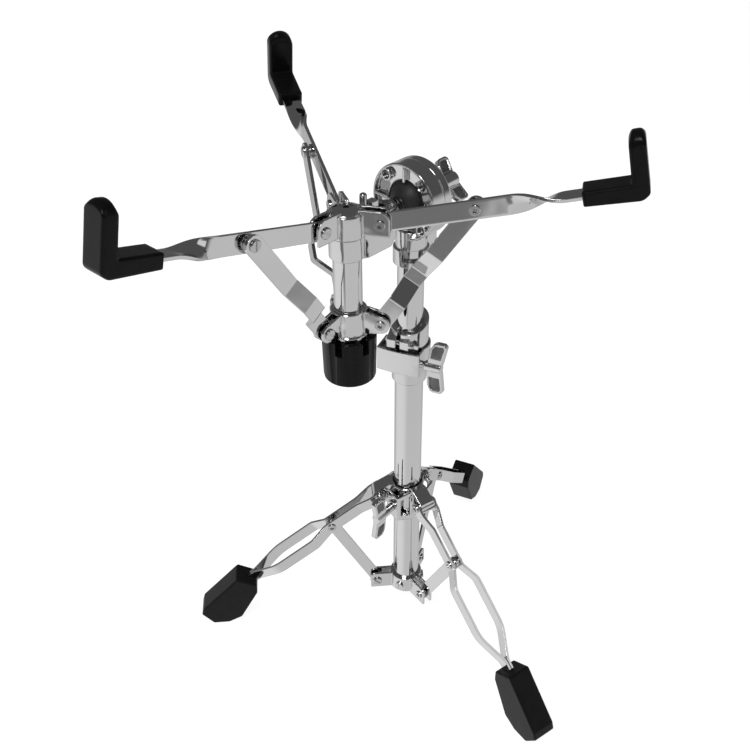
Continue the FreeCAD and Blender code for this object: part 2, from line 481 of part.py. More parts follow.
clamp_face = BLOCK_SHIFT + BLOCK_HALF
screw = wing_screw(CLAMP_SHANK_R, 2 * (BLOCK_HALF - CUP_WALL), CLAMP_NECK, WING_BARREL_R, CLAMP_BARREL,
                   CLAMP_SPAN)
screw = turned(turned(screw, X, CLAMP_WING_LEAN), Z, 90)
screw = moved(screw, CLAMP_SCREW_D, clamp_face + SIDE, CLAMP_SCREW_Z)
save("clamp_wing_screw", about_tube(screw, CLAMP_AZ))

# Memory lock: split ring with a sloping top and two ramped lugs that drop into the cup
lock = cyl(LOCK_R, V(0, 0, LOCK_Z0), Z, LOCK_BACK_Z - LOCK_Z0)
lock = lock.cut(plate_xz(((-LOCK_R, LOCK_BACK_Z), (LOCK_R, LOCK_FRONT_Z), (LOCK_R + OVER, LOCK_FRONT_Z),
                          (LOCK_R + OVER, LOCK_BACK_Z + OVER), (-LOCK_R, LOCK_BACK_Z + OVER)), -LONG, LONG))
lug_front = BLOCK_D - 2 * CUP_WALL
lug_back = LOCK_R - LUG_RAMP
lock_parts = [lock]
for s in (1, -1):
    y0, y1 = sorted((LUG_SHIFT + s * LUG_GAP / 2, LUG_SHIFT + s * (LUG_GAP / 2 + LUG_W)))
    lock_parts.append(plate_xz(((lug_back, LOCK_Z0), (lug_front, LOCK_Z0), (lug_front, LUG_Z1),
                                (lug_back, LUG_Z1 + LUG_RAMP)), y0, y1))
lug_side = LUG_SHIFT + LUG_GAP / 2 + LUG_W
key_y = lug_side + KEY_BOSS
key_axis = V(KEY_D, 0, KEY_Z)
lock = fuse(lock_parts + [cyl(KEY_BOSS_R, key_axis + Y * (lug_side - OVER), Y, KEY_BOSS + OVER)])
slit = block(0, LONG, LUG_SHIFT - LUG_GAP / 2, LUG_SHIFT + LUG_GAP / 2, LOCK_Z0 - OVER, LOCK_BACK_Z + OVER)
lock = cut(lock, [cyl(UPPER_R + RUN, V(0, 0, LOCK_Z0 - OVER), Z, LONG), slit,
                  cyl(SCREW_R + SEAT, key_axis - Y * LONG / 2, Y, LONG),
                  cyl(KEY_HEAD_R + SIDE, key_axis + Y * key_y, Y, LONG)])
save("memory_lock", about_tube(lock, CLAMP_AZ))
key_start = LUG_SHIFT - LUG_GAP / 2 - LUG_W
square = KEY_SQUARE / 2
key_screw = fuse([cyl(SCREW_R, Y * key_start, Y, key_y - key_start),
                  cyl(KEY_HEAD_R, Y * key_y, Y, KEY_HEAD_T),
                  block(-square, square, key_y, key_y + KEY_LONG, -square, square)])
save("memory_lock_screw", about_tube(key_screw.translated(key_axis), CLAMP_AZ))

# Upper tube and its glide
tube_bore = UPPER_R - UPPER_WALL
save("upper_tube", ring(UPPER_R, tube_bore, V(0, 0, UPPER_Z0), Z, UPPER_Z1 - UPPER_Z0))
glide = fuse([cyl(LOWER_R - LOWER_WALL - RUN, V(0, 0, UPPER_Z0 - GLIDE_H), Z, GLIDE_H),
              cyl(tube_bore - RUN, V(0, 0, UPPER_Z0 - OVER), Z, GLIDE_PLUG + OVER)])
glide = chamfered(glide, EDGE, lambda e: at_z(e, UPPER_Z0 - GLIDE_H))
save("tube_glide", glide.cut(cyl(tube_bore - 2 * UPPER_WALL, V(0, 0, UPPER_Z0 - LONG), Z, 2 * LONG)))

# Tilter housing, cap, seat and ball
centre = V(0, 0, TILT_Z)
cavity = Part.makeSphere(BALL_R + SEAT_T, centre)
front = cyl(TILT_R, V(0, TILT_FRONT, TILT_Z), Y, TILT_PART - TILT_FRONT)
front = chamfered(front, EDGE, lambda e: at_y(e, TILT_FRONT))
front = front.cut(cyl(TILT_R - RIM_T, V(0, TILT_FRONT - OVER, TILT_Z), Y, DISH + OVER))
bosses, holes = [], []
for k in range(4):
    a = math.radians(45 + 90 * k)
    spot = V(TILT_SCREW_R * math.cos(a), TILT_FRONT, TILT_Z + TILT_SCREW_R * math.sin(a))
    bosses.append(cyl(TILT_LUG_R, spot + Y * EDGE, Y, DISH + OVER))
    holes.append(spot)
rib = block(-TILT_R + RIM_T / 2, TILT_R - RIM_T / 2, TILT_FRONT + EDGE, TILT_FRONT + DISH + OVER,
            TILT_Z - RIB_T / 2, TILT_Z + RIB_T / 2)
front = fuse([front] + bosses + [rib, turned(rib, Y, 90, centre)])
shoulder_z = TILT_Z - TILT_R
socket_sleeve = cyl(SLEEVE_R, V(0, 0, SLEEVE_Z0), Z, SLEEVE_Z1 - SLEEVE_Z0)
socket_sleeve = chamfered(socket_sleeve, EDGE, lambda e: e.BoundBox.ZLength < 1e-6)
neck = cyl(NECK_R, V(0, 0, SLEEVE_Z1 - OVER), Z, shoulder_z - EDGE - SLEEVE_Z1 + OVER)
neck_front = cyl(NECK_R, V(0, 0, shoulder_z - 2 * EDGE), Z, NECK_UP)
neck_front = neck_front.common(block(-LONG, LONG, -LONG, TILT_PART, SLEEVE_Z0, TILT_Z))
rear_lug = block(-SLEEVE_R / 2, SLEEVE_R / 2, UPPER_R, SLEEVE_R + REAR_LUG, SLEEVE_Z0 + REAR_LUG_UP,
                 shoulder_z - EDGE)
rear_lug = rounded(rear_lug, CAP_ROUND, lambda e: along(e, X) and e.BoundBox.YMin > SLEEVE_R)
housing = fuse([front, socket_sleeve, neck, neck_front, rear_lug])
window = block(UPPER_R / 2, SLEEVE_R + OVER, -WINDOW_W / 2, WINDOW_W / 2, SLEEVE_Z0 + WINDOW_UP, SLEEVE_Z1)
housing = cut(housing, [cavity, cyl(BALL_MOUTH_R, V(0, TILT_FRONT - OVER, TILT_Z), Y, BALL_MOUTH_R),
                        cyl(UPPER_R + SEAT, V(0, 0, SLEEVE_Z0 - OVER), Z, UPPER_Z1 - SLEEVE_Z0 + OVER),
                        about_tube(window, WINDOW_AZ),
                        about_tube(cyl(SET_R + SEAT, V(UPPER_R, 0, SET_Z), X, SLEEVE_R), SET_AZ)])
housing = cut(housing, [cyl(TILT_HOLE_R, p - Y, Y, TILT_HOLE + OVER) for p in holes])
housing = cut(housing, [cyl(SCREW_R + SEAT, p - Y, Y, LONG) for p in holes])
save("tilter_housing", housing)
cap = cyl(TILT_R, V(0, TILT_PART, TILT_Z), Y, TILT_REAR - TILT_PART)
cap = rounded(cap, CAP_ROUND, lambda e: at_y(e, TILT_REAR))
cap = chamfered(cap, EDGE, lambda e: at_y(e, TILT_PART))
cone = Part.makeCone(CAP_CONE_R, CAP_BOSS_R, CAP_BOSS_R, V(0, TILT_REAR - OVER, TILT_Z), Y)
cap = fuse([cap, cone, cyl(CAP_BOSS_R, V(0, TILT_REAR, TILT_Z), Y, TILT_BOSS_END - TILT_REAR)])
cap = cut(cap, [cavity, cyl(WING_SHANK_R + RUN, V(0, 0, TILT_Z), Y, LONG)]
          + [cyl(SCREW_R + SEAT, p, Y, TILT_REAR - TILT_FRONT - OVER) for p in holes])
save("tilter_cap", cap)
cap_screw = fuse([cyl(SCREW_R, Y * TILT_HOLE, Y, TILT_REAR - TILT_FRONT - TILT_HOLE - 2 * OVER),
                  cyl(TILT_HOLE_R - SIDE, Y * (TILT_HOLE - HEAD_T), Y, HEAD_T)])
cap_screw = cap_screw.cut(cyl(CAP_SOCKET_R, Y, Y, TILT_HOLE - SLOT_DEEP))
set_screw = ring(SET_R, SET_R / 2, V(UPPER_R + SIDE, 0, SET_Z), X, SLEEVE_R - UPPER_R - SIDE)
cap_screws = [cap_screw.translated(p) for p in holes]
save("tilter_screws", Part.makeCompound(cap_screws + [about_tube(set_screw, SET_AZ)]))
seat = Part.makeSphere(BALL_R + SEAT_T - RUN, centre).cut(Part.makeSphere(BALL_R + RUN, centre))
save("ball_seat", seat.common(moved(block(-LONG, LONG, -SEAT_HALF, SEAT_HALF, -LONG, LONG), z=TILT_Z)))
stem_hole = cyl(STEM_R + SEAT, V(0, -BALL_R - OVER, TILT_Z), Y, STEM_IN + OVER)
save("tilt_ball", Part.makeSphere(BALL_R, centre).cut(stem_hole))
wing_shank = TILT_BOSS_END - BALL_R - SIDE
wing = wing_screw(WING_SHANK_R, wing_shank, TILT_NECK, TILT_BARREL_R, TILT_BARREL, TILT_SPAN)
wing = turned(turned(wing, Z, 90), Y, 90 - TILT_WING_ANGLE)
save("tilter_wing_screw", moved(wing, y=TILT_BOSS_END + SIDE, z=TILT_Z))

# Bracket from the ball to the post
web_back = POST_Y + BHUB_R + 4 * SIDE
web = plate_yz(((POST_Y, POST_COLLAR_Z0), (POST_Y + POST_COLLAR_R, BRACKET_UNDER),
                (BRACKET_NOSE - BRACKET_CUT, BRACKET_UNDER), (BRACKET_NOSE, BRACKET_UNDER + BRACKET_CUT),
                (BRACKET_NOSE, BRACKET_STEP_Z), (CREST_Y[1], BRACKET_STEP_Z), (CREST_Y[0], BRACKET_SADDLE_Z),
                (web_back, BRACKET_SADDLE_Z), (web_back, POST_COLLAR_Z1), (POST_Y, POST_COLLAR_Z1)),
               -BRACKET_HALF, BRACKET_HALF)
web = chamfered(web, BRACKET_EDGE, lambda e: e.BoundBox.XLength < 1e-6 and e.BoundBox.YMin > web_back + OVER)
pocket_y0, pocket_y1 = web_back + POCKET_IN, BRACKET_NOSE - POCKET_RIM
pocket = plate_yz(((pocket_y0, BRACKET_UNDER + BRACKET_CUT), (pocket_y1, BRACKET_UNDER + POCKET_IN),
                   (pocket_y1, TILT_Z - POCKET_IN), (pocket_y0, TILT_Z - POCKET_RIM / 2)),
                  -BRACKET_HALF - OVER, -STEM_R / 2)
post_collar = cyl(POST_COLLAR_R, V(0, POST_Y, POST_COLLAR_Z0), Z, POST_COLLAR_Z1 - POST_COLLAR_Z0)
post_collar = rounded(post_collar, BRACKET_EDGE, lambda e: at_z(e, POST_COLLAR_Z0))
stem_y = -BALL_R - OVER
root_y = BRACKET_NOSE - OVER
stem = fuse([Part.makeCone(STEM_ROOT_R, STEM_R, stem_y - root_y, V(0, root_y, TILT_Z), Y),
             cyl(STEM_R, V(0, stem_y, TILT_Z), Y, STEM_IN)])
peg_spot = V(0, PEG_Y, BRACKET_SADDLE_Z)
crest = block(-CREST_HALF, CREST_HALF, *CREST_Y, BRACKET_STEP_Z - STEM_R, BRACKET_TOP_Z)
crest = chamfered(crest, EDGE, lambda e: at_z(e, BRACKET_TOP_Z))
bracket = fuse([web.cut(pocket), post_collar, stem, crest])
bracket = cut(bracket, [cyl(POST_R + SEAT, V(0, POST_Y, POST_COLLAR_Z0 - LONG / 2), Z, LONG),
                        cyl(SCREW_R + SEAT, peg_spot - Z * PEG_DEEP, Z, PEG_DEEP + OVER),
                        block(-NOTCH_HALF, NOTCH_HALF, NOTCH_Y - NOTCH_HALF, NOTCH_Y + NOTCH_HALF,
                              BRACKET_STEP_Z - NOTCH_DEEP, BRACKET_STEP_Z + OVER)])
save("basket_bracket", bracket)
peg = rounded(cyl(PEG_R, peg_spot, Z, PEG_H), PEG_ROUND, lambda e: at_z(e, peg_spot.z + PEG_H))
save("bracket_pin", fuse([cyl(SCREW_R, peg_spot - Z * (PEG_DEEP - SIDE), Z, PEG_DEEP), peg]))
post_top = POST_COLLAR_Z1 + POST_ABOVE
post = ring(POST_R, POST_R - POST_WALL, V(0, 0, POST_Z0), Z, post_top - POST_Z0)
save("basket_post", moved(post, y=POST_Y))


# Basket hubs: a round body with three pairs of ears
def ear_pair(profile):
    return [profile(EAR_IN, EAR_OUT), profile(-EAR_OUT, -EAR_IN)]


def square_ear(y0, y1):
    ear = block(BHUB_R / 2, EAR_REACH, y0, y1, ARM_Z - EAR_LOW, ARM_Z + EAR_HIGH)
    return rounded(ear, EAR_ROUND,
                   lambda e: along(e, Y) and e.BoundBox.XMin > BHUB_R and e.BoundBox.ZMin > ARM_Z)


def drop_ear(y0, y1):
    # Round about the pivot, widening to the hub's full height
    r = EAR_REACH - PIVOT_R
    z0, z1 = LOWER_PIVOT_Z - EAR_LOW, LOWER_PIVOT_Z + EAR_HIGH
    root = ((BHUB_R / 2, z0), (BHUB_R, z0), (PIVOT_R, LOWER_PIVOT_Z - r), (PIVOT_R, LOWER_PIVOT_Z + r),
            (BHUB_R, z1), (BHUB_R / 2, z1))
    return fuse([plate_xz(root, y0, y1), cyl(r, V(PIVOT_R, y0, LOWER_PIVOT_Z), Y, y1 - y0)])


def clevis_hub(z0, z1, pivot_z, bore_r, profile):
    body = chamfered(cyl(BHUB_R, V(0, 0, z0), Z, z1 - z0), EDGE, lambda e: e.BoundBox.ZLength < 1e-6)
    for azimuth in ARM_AZIMUTHS:
        body = fuse([body] + [about_tube(ear, azimuth) for ear in ear_pair(profile)])
    ear_pin = cyl(PIN_R + SEAT, V(PIVOT_R, -EAR_OUT - OVER, pivot_z), Y, 2 * (EAR_OUT + OVER))
    pins = [about_tube(ear_pin, a) for a in ARM_AZIMUTHS]
    return cut(body, pins + [cyl(bore_r, V(0, 0, z0 - LONG / 2), Z, LONG)])


hub_top = ARM_Z + HUB_ABOVE
upper = clevis_hub(POST_COLLAR_Z1, hub_top, ARM_Z, POST_R + SEAT, square_ear)
dome = Part.makeSphere(DOME_R, V(0, 0, hub_top - DOME_DROP)).common(
    cyl(BHUB_R - 2 * EDGE, V(0, 0, post_top), Z, DOME_R))
upper = cut(fuse([upper, dome]), [cyl(BOLT_HEAD_R + SEAT, V(0, 0, hub_top - OVER), Z, LONG),
                                  cyl(BOLT_R + SEAT, V(0, 0, post_top - OVER), Z, LONG)])
save("upper_basket_hub", moved(upper, y=POST_Y))
bolt = fuse([cyl(BOLT_R, V(0, 0, post_top - 2 * OVER), Z, hub_top - post_top + 2 * OVER),
             cyl(BOLT_HEAD_R, V(0, 0, hub_top - OVER), Z, BOLT_HEAD_T)])
corners = [turned(Part.Vertex(HEX_R, 0, hub_top), Z, 60 * k).Point for k in range(6)]
socket = Part.Face(Part.makePolygon(corners + corners[:1])).extrude(V(0, 0, LONG))
save("hub_bolt", moved(bolt.cut(socket), y=POST_Y))
hub_pin = moved(pivot_screw(-EAR_OUT, EAR_OUT), x=PIVOT_R)
for node, z in (("upper_hub_pins", ARM_Z), ("lower_basket_pins", LOWER_PIVOT_Z)):
    save(node, Part.makeCompound([about_post(moved(hub_pin, z=z), a) for a in ARM_AZIMUTHS]))
low_z0 = KNOB_Z1 + SIDE
lip = cyl(BHUB_R + HUB_LIP, V(0, 0, low_z0), Z, HUB_LIP_H)
lip = chamfered(lip, EDGE, lambda e: e.BoundBox.ZLength < 1e-6)
lower = clevis_hub(low_z0, low_z0 + LOWER_HUB_H, LOWER_PIVOT_Z, POST_R + RUN, drop_ear)
lower = fuse([lower, lip.cut(cyl(POST_R + RUN, V(0, 0, low_z0 - OVER), Z, LONG))])
save("lower_basket_hub", moved(lower, y=POST_Y))


# Arms: flat strap on edge at the hub, twisted a quarter turn to lie flat in the pad
def section(x, degrees):
    corners = [V(0, s * ARM_T / 2, t * ARM_W / 2) for s, t in ((1, 1), (-1, 1), (-1, -1), (1, -1))]
    wire = Part.makePolygon(corners + corners[:1])
    return moved(turned(wire, X, degrees), x=x)


twist = []
for k in range(TWIST_STEPS + 1):
    u = k / TWIST_STEPS
    twist.append(section(TWIST_FROM + ARM_TWIST * u, 90 * (3 * u * u - 2 * u ** 3)))
half_w, half_t = ARM_W / 2, ARM_T / 2
arm = fuse([stadium(0, TWIST_FROM - half_w, ARM_W, half_t),
            block(0, TWIST_FROM, -half_t, half_t, -half_w, half_w), Part.makeLoft(twist, True, False),
            block(TWIST_TO, ARM_LENGTH, -half_w, half_w, -half_t, half_t)])
arm = cut(arm, [cyl(PIN_R + RUN, V(0, -LONG / 2, 0), Y, LONG),
                cyl(PIN_R + SEAT, V(ARM_LINK_AT, -LONG / 2, 0), Y, LONG)])
arm_rivet = moved(half_rivet(-half_t, half_t).mirror(O, Y), x=ARM_LINK_AT)

# Pad: a ledge along the arm and a round-topped wall at its end
half_pad = PAD_W / 2
wall_in = PAD_OUT - PAD_WALL
pad = plate_xz(((PAD_IN, PAD_BASE), (PAD_OUT - PAD_TOE, PAD_BASE - PAD_SAG), (PAD_OUT, PAD_BASE + PAD_HEEL),
                (PAD_OUT + PAD_FLARE, PAD_TOP - PAD_SHOULDER), (PAD_OUT - PAD_CROWN_OUT, PAD_TOP),
                (wall_in + PAD_CROWN_IN, PAD_TOP), (wall_in + PAD_LEAN, PAD_TOP - PAD_LEAN_H),
                (wall_in, PAD_LEDGE), (PAD_IN, PAD_LEDGE)), -half_pad, half_pad)
pad = rounded(pad, PAD_EDGE, lambda e: along(e, Y) and e.BoundBox.XMin > wall_in + PAD_LEAN + OVER)
shoulder = PAD_TOP - half_pad
tombstone = fuse([block(PAD_IN - OVER, PAD_OUT + OVER, -half_pad, half_pad, PAD_BASE - PAD_SAG - OVER,
                        shoulder),
                  cyl(half_pad, V(PAD_IN - OVER, 0, shoulder), X, PAD_LONG + 2 * OVER)])
pad = pad.common(tombstone)
underside = block(PAD_IN - OVER, wall_in - PAD_TROUGH, PAD_TROUGH - half_w, half_w - PAD_TROUGH,
                  PAD_BASE - LONG, 0)
pad = cut(pad, [arm, underside])

# Links: flat strap stood off the arm, jogged out to clear the upper hub and back into the lower one
rise = math.radians(ARM_RISE)
link_dx, link_dz = ARM_LINK_AT * math.cos(rise), ARM_Z + ARM_LINK_AT * math.sin(rise) - LOWER_PIVOT_Z
link_len = math.hypot(link_dx, link_dz)
bend_x = [share * link_len for share in LINK_STATIONS]
link_path = [(-half_w, 0)] + list(zip(bend_x, (0, LINK_JOG, LINK_JOG, LINK_OFFSET)))
link_path.append((link_len + half_w, LINK_OFFSET))
link = bent_strap(link_path, LINK_BENDS, ARM_T, ARM_W).common(stadium(0, link_len, ARM_W, LONG))
link = cut(link, [cyl(PIN_R + RUN, V(0, -LONG / 2, 0), Y, LONG).common(stadium(0, OVER, ARM_W, LONG)),
                  cyl(PIN_R + SEAT, V(link_len, -LONG / 2, 0), Y, LONG)])
spacer_from, spacer_to = half_t + SIDE, LINK_OFFSET - half_t
head_at = LINK_OFFSET + half_t
link_screw = fuse([slotted_head(head_at), cyl(PIN_R, Y * spacer_to, Y, head_at - spacer_to),
                   cyl(SPACER_R, Y * spacer_from, Y, spacer_to - spacer_from),
                   cyl(LINK_WASHER_R, Y * spacer_from, Y, LINK_WASHER)])
link_screw = moved(link_screw, x=link_len)


def arm_frame(shape, azimuth):
    return about_post(moved(turned(shape, Y, -ARM_RISE), x=PIVOT_R, z=ARM_Z), azimuth)


def link_frame(shape, azimuth):
    tilt = math.degrees(math.atan2(link_dz, link_dx))
    return about_post(moved(turned(shape, Y, -tilt), x=PIVOT_R, z=LOWER_PIVOT_Z), azimuth)


for n, azimuth in enumerate(ARM_AZIMUTHS, 1):
    save("arm_%d" % n, arm_frame(arm, azimuth))
    save("arm_%d_rivet" % n, arm_frame(arm_rivet, azimuth))
    save("pad_%d" % n, arm_frame(pad, azimuth))
    save("link_%d" % n, link_frame(link, azimuth))
    save("link_%d_screw" % n, link_frame(link_screw, azimuth))

# Adjusting knob under the lower hub: tapered, fluted, with square notches in its top rim
knob = Part.makeCone(KNOB_FOOT_R, KNOB_R, KNOB_H, V(0, 0, KNOB_Z0), Z)
knob = rounded(knob, KNOB_ROUND, lambda e: at_z(e, KNOB_Z0))
knob_cuts = [cyl(POST_R + RUN, V(0, 0, POST_Z0 - SIDE), Z, LONG),
             cyl(KNOB_R - KNOB_RIM, V(0, 0, KNOB_Z1 - KNOB_SUNK), Z, LONG)]
flute = cyl(FLUTE_R, V(KNOB_R + FLUTE_R - FLUTE_DEEP, 0, KNOB_Z0 - OVER), Z, LONG)
notch = block(KNOB_R - NOTCH_CUT, KNOB_R + OVER, -NOTCH_W / 2, NOTCH_W / 2, KNOB_Z1 - NOTCH_H, KNOB_Z1 + OVER)
knob_cuts += [about_tube(flute, FLUTE_AZ + 360 / KNOB_FLUTES * k) for k in range(KNOB_FLUTES)]
knob_cuts += [about_tube(notch, NOTCH_AZ + 360 / KNOB_NOTCHES * k) for k in range(KNOB_NOTCHES)]
knob_boss = ring(POST_R + KNOB_BOSS, POST_R + RUN, V(0, 0, KNOB_Z1 - KNOB_SUNK - OVER), Z, KNOB_SUNK + OVER)
save("adjusting_knob", moved(fuse([cut(knob, knob_cuts), knob_boss]), y=POST_Y))
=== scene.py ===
import json
import math
import bpy
import numpy as np
from mathutils import Matrix, Vector


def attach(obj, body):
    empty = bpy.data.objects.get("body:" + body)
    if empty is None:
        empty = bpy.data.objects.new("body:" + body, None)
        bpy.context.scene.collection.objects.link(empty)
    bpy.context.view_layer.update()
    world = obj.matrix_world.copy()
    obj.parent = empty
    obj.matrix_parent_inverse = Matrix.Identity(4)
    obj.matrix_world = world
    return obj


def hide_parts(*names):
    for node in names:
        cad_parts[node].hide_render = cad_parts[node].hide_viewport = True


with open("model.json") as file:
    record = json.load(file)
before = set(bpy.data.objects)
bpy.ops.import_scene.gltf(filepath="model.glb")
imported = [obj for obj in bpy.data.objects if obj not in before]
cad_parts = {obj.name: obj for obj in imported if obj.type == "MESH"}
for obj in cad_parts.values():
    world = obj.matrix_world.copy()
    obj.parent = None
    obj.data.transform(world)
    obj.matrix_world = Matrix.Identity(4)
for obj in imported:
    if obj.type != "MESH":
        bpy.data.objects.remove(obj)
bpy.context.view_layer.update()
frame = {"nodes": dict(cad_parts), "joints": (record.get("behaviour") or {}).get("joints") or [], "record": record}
nodes = frame["nodes"]
print("frame loaded:", len(nodes), "nodes")


# a socket that can be used in sums, so that shader maths reads as ordinary expressions
class Sock:
    def __init__(self, tree, socket=None):
        self.tree, self.socket = tree, socket

    # any node: its kind, its settings, then values or links for its inputs
    def make(self, kind, settings=None, links=None, out=0):
        node = self.tree.nodes.new("ShaderNode" + kind)
        for key, value in (settings or {}).items():
            setattr(node, key, value)
        for key, value in (links or {}).items():
            if isinstance(value, Sock):
                self.tree.links.new(value.socket, node.inputs[key])
            else:
                node.inputs[key].default_value = value
        return Sock(self.tree, node.outputs[out] if node.outputs else None)

    def sum(self, operation, *values):
        return self.make("Math", {"operation": operation}, dict(enumerate(values)))

    def __add__(self, other):
        return self.sum("ADD", self, other)

    def __radd__(self, other):
        return self.sum("ADD", other, self)

    def __sub__(self, other):
        return self.sum("SUBTRACT", self, other)

    def __rsub__(self, other):
        return self.sum("SUBTRACT", other, self)

    def __mul__(self, other):
        return self.sum("MULTIPLY", self, other)

    def __rmul__(self, other):
        return self.sum("MULTIPLY", other, self)

    # 0 below low, 1 above high, eased between
    def step(self, low, high):
        return self.make("MapRange", {"interpolation_type": "SMOOTHSTEP"},
                         {"Value": self, "From Min": low, "From Max": high})

    # 1 within half of centre, 0 beyond half plus soft
    def band(self, centre, half, soft):
        offset = self - centre
        return 1 - offset.sum("ABSOLUTE", offset).step(half, half + soft)


# camera: fitted to the photo with the tubes at their real size; angles in degrees, square image
view = {"azimuth": 42.78, "elevation": 34.74, "roll": -0.42, "distance": 0.9761,
        "target": (-0.0320, -0.0150, 0.3154), "lens": 46.74, "sensor": 36.0, "clip": (0.05, 50.0)}


def placeCamera(spec):
    a, e, r = (math.radians(spec[k]) for k in ("azimuth", "elevation", "roll"))
    back = Vector((math.sin(a) * math.cos(e), -math.cos(a) * math.cos(e), math.sin(e)))
    right = Vector((math.cos(a), math.sin(a), 0.0))
    up = back.cross(right)
    sideways = right * math.cos(r) + up * math.sin(r)
    upright = up * math.cos(r) - right * math.sin(r)
    data = bpy.data.cameras.new("camera")
    data.lens, data.sensor_width, data.sensor_fit = spec["lens"], spec["sensor"], "HORIZONTAL"
    data.clip_start, data.clip_end = spec["clip"]
    cam = bpy.data.objects.new("camera", data)
    turn = Matrix((sideways, upright, back)).transposed().to_4x4()
    cam.matrix_world = Matrix.Translation(Vector(spec["target"]) + back * spec["distance"]) @ turn
    bpy.context.scene.collection.objects.link(cam)
    bpy.context.scene.camera = cam


placeCamera(view)
bpy.context.scene.view_settings.view_transform = "Standard"
print("camera placed")

# studio: a pale floor below the horizon and a dimmer room above with soft boxes, all white to the camera;
# bearings in degrees, heights and fades as the upward share of the direction;
# lamps as name, place, size, watts
studio = {"floorTone": 0.84, "roomTone": 0.12, "horizon": (-0.12, 0.20),
          "brightSide": {"bearing": -31.0, "gain": 0.26, "spread": (0.35, 1.0)},
          "farSide": {"bearing": -137.2, "gain": -0.26, "spread": (0.2, 1.0)},
          "strip": {"bearing": 17.0, "half": 6.0, "soft": 4.0, "tone": 0.26, "fade": (-0.56, -0.46)},
          "softboxes": ({"bearing": 24.0, "half": 13.0, "soft": 6.0,
                         "height": 0.80, "deep": 0.05, "fade": 0.06, "tone": 14.0},
                        {"bearing": 118.0, "half": 8.0, "soft": 6.0,
                         "height": 0.45, "deep": 0.20, "fade": 0.06, "tone": 0.9}),
          "lamps": (("topSoftbox", (-0.5, -0.7, 1.9), 1.0, 16.0),
                    ("sideSoftbox", (1.6, -0.3, 1.3), 0.7, 7.0),
                    ("backSoftbox", (-1.2, 1.5, 1.5), 0.9, 7.0)),
          "aim": (0.0, -0.05, 0.40)}


def buildWorld(spec):
    world = bpy.data.worlds.new("studio")
    world.use_nodes = True
    tree = world.node_tree
    tree.nodes.clear()
    start = Sock(tree)
    coords = start.make("TexCoord", out="Generated")
    x, y, z = (start.make("SeparateXYZ", links={0: coords}, out=way) for way in ("X", "Y", "Z"))
    lift = z.step(*spec["horizon"])
    bearing = x.sum("ARCTAN2", x, 0 - y) * (180 / math.pi)
    floorTone = spec["floorTone"]
    for side in (spec["brightSide"], spec["farSide"]):
        offset = (bearing - side["bearing"]) * (math.pi / 180)
        floorTone = floorTone + offset.sum("COSINE", offset).step(*side["spread"]) * side["gain"]
    tone = floorTone * (1 - lift) + spec["roomTone"] * lift
    strip = spec["strip"]
    dark = bearing.band(strip["bearing"], strip["half"], strip["soft"]) * (1 - lift) * z.step(*strip["fade"])
    tone = tone * (1 - dark) + strip["tone"] * dark
    for box in spec["softboxes"]:
        across = bearing.band(box["bearing"], box["half"], box["soft"])
        tone = tone + across * z.band(box["height"], box["deep"], box["fade"]) * box["tone"]
    seen = start.make("LightPath", out="Is Camera Ray")
    tone = tone * (1 - seen) + seen
    shade = start.make("Background", links={"Color": tone})
    start.make("OutputWorld", links={"Surface": shade})
    bpy.context.scene.world = world


def buildLamps(spec):
    for name, place, size, watts in spec["lamps"]:
        data = bpy.data.lights.new(name, "AREA")
        data.shape, data.size, data.energy = "SQUARE", size, watts
        lamp = bpy.data.objects.new(name, data)
        lamp.location = place
        lamp.visible_glossy = False
        lamp.rotation_euler = (Vector(spec["aim"]) - Vector(place)).to_track_quat("-Z", "Y").to_euler()
        bpy.context.scene.collection.objects.link(lamp)


# surface from a grid of points, rows by columns; closed columns join the last to the first
def gridMesh(name, points, material, closeCols=False):
    rows, cols = points.shape[:2]
    index = np.arange(rows * cols).reshape(rows, cols)
    if closeCols:
        index = np.hstack([index, index[:, :1]])
    corners = [index[:-1, :-1], index[:-1, 1:], index[1:, 1:], index[1:, :-1]]
    faces = np.stack(corners, axis=-1).reshape(-1, 4)
    mesh = bpy.data.meshes.new(name)
    mesh.vertices.add(rows * cols)
    mesh.vertices.foreach_set("co", np.ascontiguousarray(points, dtype=np.float32).ravel())
    mesh.loops.add(faces.size)
    mesh.loops.foreach_set("vertex_index", faces.astype(np.int32).ravel())
    mesh.polygons.add(len(faces))
    mesh.polygons.foreach_set("loop_start", np.arange(0, faces.size, 4, dtype=np.int32))
    mesh.update()
    mesh.validate()
    mesh.shade_smooth()
    mesh.materials.append(material)
    piece = bpy.data.objects.new(name, mesh)
    bpy.context.scene.collection.objects.link(piece)
    return piece


# floor: a flat square just under z = 0, white to the camera apart from a faint shadow;
# mirrors look through it to the painted room
floorSize = {"half": 6.0, "points": 3, "drop": 0.0002, "tone": 0.9, "shadow": 0.20, "white": 1.14}


def buildFloor(spec):
    side = np.linspace(-spec["half"], spec["half"], spec["points"])
    gx, gy = np.meshgrid(side, side)
    mat = bpy.data.materials.new("paleFloor")
    mat.use_nodes = True
    tree = mat.node_tree
    tree.nodes.clear()
    start = Sock(tree)
    paint = start.make("BsdfDiffuse", links={"Color": (spec["tone"],) * 3 + (1.0,)})
    white = start.make("Emission", links={"Color": (1.0, 1.0, 1.0, 1.0), "Strength": spec["white"]})
    clear = start.make("BsdfTransparent")
    seen = start.make("LightPath", out="Is Camera Ray")
    mirror = start.make("LightPath", out="Is Glossy Ray")
    mixed = start.make("MixShader", links={0: seen * (1 - spec["shadow"]), 1: paint, 2: white})
    mixed = start.make("MixShader", links={0: mirror, 1: mixed, 2: clear})
    start.make("OutputMaterial", links={"Surface": mixed})
    floor = gridMesh("floor", np.stack([gx, gy, np.zeros_like(gx) - spec["drop"]], axis=-1), mat)


buildWorld(studio)
buildLamps(studio)
buildFloor(floorSize)
print("studio built")


